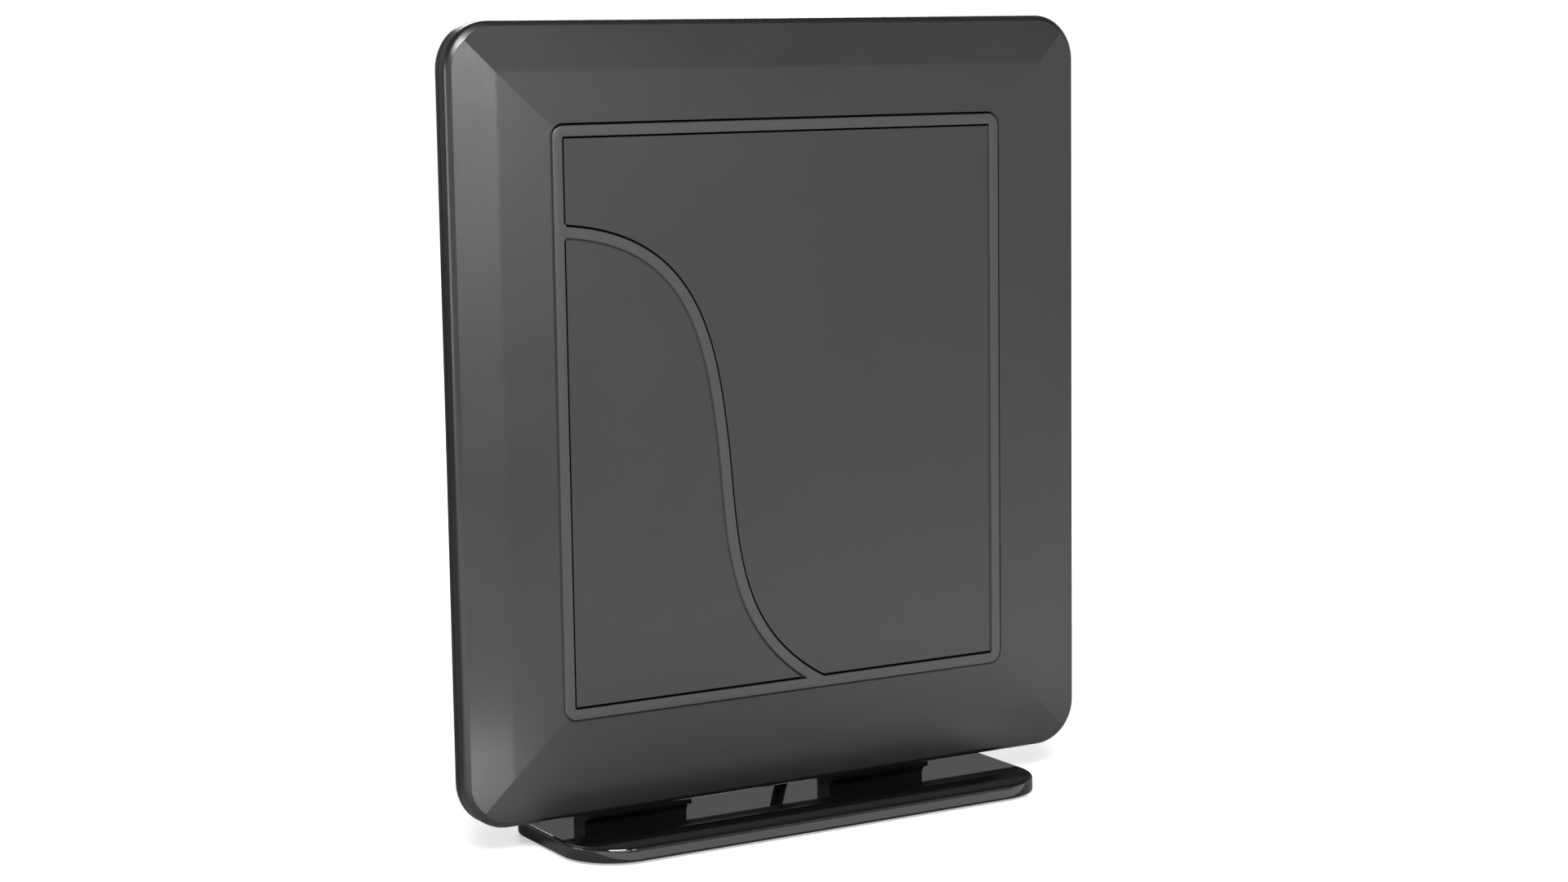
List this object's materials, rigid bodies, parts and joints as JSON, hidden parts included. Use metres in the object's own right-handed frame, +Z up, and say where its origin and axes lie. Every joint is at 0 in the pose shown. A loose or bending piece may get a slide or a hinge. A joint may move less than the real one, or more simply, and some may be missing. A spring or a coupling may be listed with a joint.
{
  "type": "tv antenna",
  "caption": "Flat dark indoor television antenna: a bevelled panel with a raised frame and S-shaped bead, standing upright on a glossy black base, with its coaxial lead coiled behind.",
  "frame": {"origin": "middle of the base's footprint, on the table that the rubber feet stand on", "axes": "+Z up, the panel's bevelled front faces -Y, +X to the right seen from the front"},
  "size_m": [0.376, 0.2234, 0.4222],
  "materials": {
    "panel_shell": "satin moulded plastic with a very fine grain",
    "bracket_black": "satin black moulded plastic",
    "base_gloss": "polished black plastic that mirrors the panel",
    "pan_black": "matt black moulded plastic",
    "ballast_steel": "plain steel plate",
    "screw_steel": "dark zinc plated steel",
    "socket_nickel": "bright nickel plating",
    "insulator_white": "white insulating plastic",
    "sheet_white": "white plastic sheet",
    "element_copper": "thin copper foil",
    "board_green": "green circuit board",
    "foot_rubber": "black rubber",
    "lead_jacket": "smooth black flexible jacket",
    "tie_black": "black strap"
  },
  "bodies": {
    "root": {"front_cover": "panel_shell", "rear_cover": "panel_shell", "hub_cover": "panel_shell", "hub_screws": "screw_steel", "element_sheet": "sheet_white", "uhf_element_left": "element_copper", "uhf_element_right": "element_copper", "vhf_loop": "element_copper", "balun_board": "board_green", "balun_shield": "socket_nickel", "feed_pins": "socket_nickel", "balun_screws": "screw_steel", "signal_wire": "element_copper", "cover_screws": "screw_steel", "sheet_screws": "screw_steel", "socket_body": "socket_nickel", "socket_insulator": "insulator_white", "socket_washer": "socket_nickel", "socket_nut": "socket_nickel", "bracket_left": "bracket_black", "bracket_right": "bracket_black", "bracket_screws": "screw_steel", "base_cover": "base_gloss", "base_pan": "pan_black", "ballast_plate": "ballast_steel", "foot_screws": "screw_steel", "pan_screws": "screw_steel", "foot_front_left": "foot_rubber", "foot_front_right": "foot_rubber", "foot_rear_left": "foot_rubber", "foot_rear_right": "foot_rubber", "lead_plug": "socket_nickel", "lead_boot": "lead_jacket", "lead_tube": "lead_jacket", "lead_coil": "lead_jacket", "coil_tie": "tie_black", "lead_tail": "lead_jacket", "far_boot": "lead_jacket", "far_plug": "socket_nickel"}
  },
  "joints": []
}
